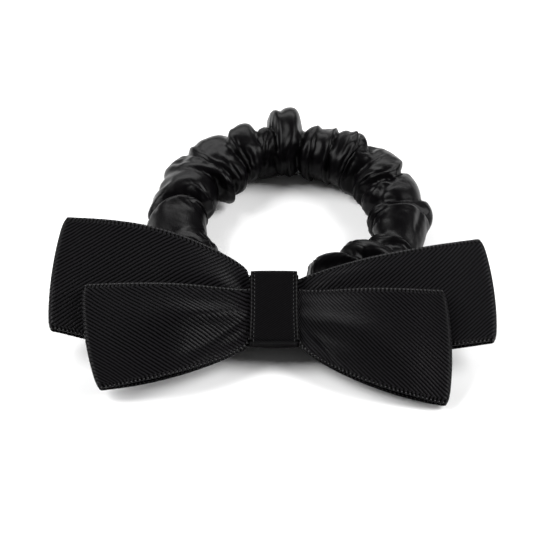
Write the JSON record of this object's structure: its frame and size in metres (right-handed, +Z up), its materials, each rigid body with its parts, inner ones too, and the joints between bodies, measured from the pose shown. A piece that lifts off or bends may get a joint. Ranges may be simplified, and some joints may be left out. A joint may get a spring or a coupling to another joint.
{
  "type": "hair scrunchie with ribbon bow",
  "caption": "Small gathered satin hair scrunchie with an elastic inside and a double satin ribbon bow, pinched by a satin band that wraps round the ring.",
  "frame": {"origin": "middle of the ring's opening, on the surface that the ring lies on", "axes": "+Z up out of the surface, +X to the right along the bow, -Y from the ring's middle towards the bow"},
  "size_m": [0.094, 0.0826, 0.02],
  "materials": {
    "sleeve_satin": "gathered lustrous black satin",
    "ribbon_satin": "black satin ribbon with a fine diagonal twill and woven edges",
    "band_satin": "smooth narrow black satin ribbon",
    "elastic": "braided black elastic cord",
    "thread": "black sewing thread"
  },
  "bodies": {
    "scrunchie": {"satin_sleeve": "sleeve_satin", "sleeve_seam_thread": "thread", "sleeve_closing_stitches": "thread", "elastic_loop": "elastic", "elastic_whipping": "thread"},
    "bow": {"back_bow_ribbon": "ribbon_satin", "back_bow_stitches": "thread", "front_bow_ribbon": "ribbon_satin", "front_bow_stitches": "thread", "gathering_thread": "thread", "knot_band": "band_satin", "band_tack_stitches": "thread"}
  },
  "joints": [
    {"name": "bow_roll", "type": "hinge", "parent": "scrunchie", "child": "bow", "pos_m": [-0.0031, -0.0262, 0.0053], "axis": [1, 0, 0], "range_deg": [-20, 45]}
  ]
}
